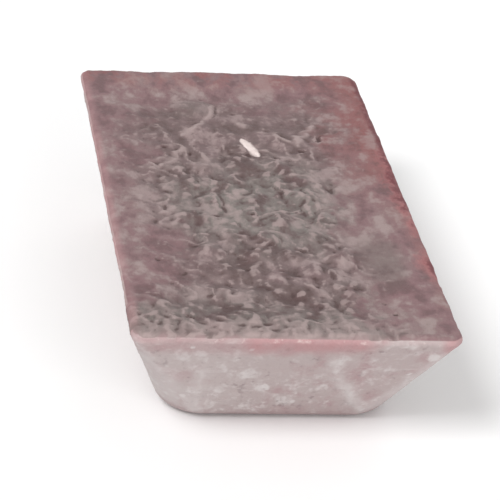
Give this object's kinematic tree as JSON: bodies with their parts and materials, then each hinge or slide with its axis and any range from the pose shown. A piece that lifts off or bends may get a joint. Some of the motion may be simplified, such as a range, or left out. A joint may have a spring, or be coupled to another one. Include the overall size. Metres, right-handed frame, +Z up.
{
  "type": "copper ingot",
  "caption": "Crude cast copper ingot: a tapered block with rounded lower edges and a rough, slightly sunken open face, for stacking and remelting.",
  "frame": {"origin": "middle of the flat base that the ingot lies on", "axes": "+Z up, through the rough open face; +Y along the length, towards the end with the blister; +X across the width"},
  "size_m": [0.168, 0.34, 0.072],
  "materials": {
    "copper": "matte"
  },
  "bodies": {
    "root": {"ingot": "copper"}
  },
  "joints": []
}
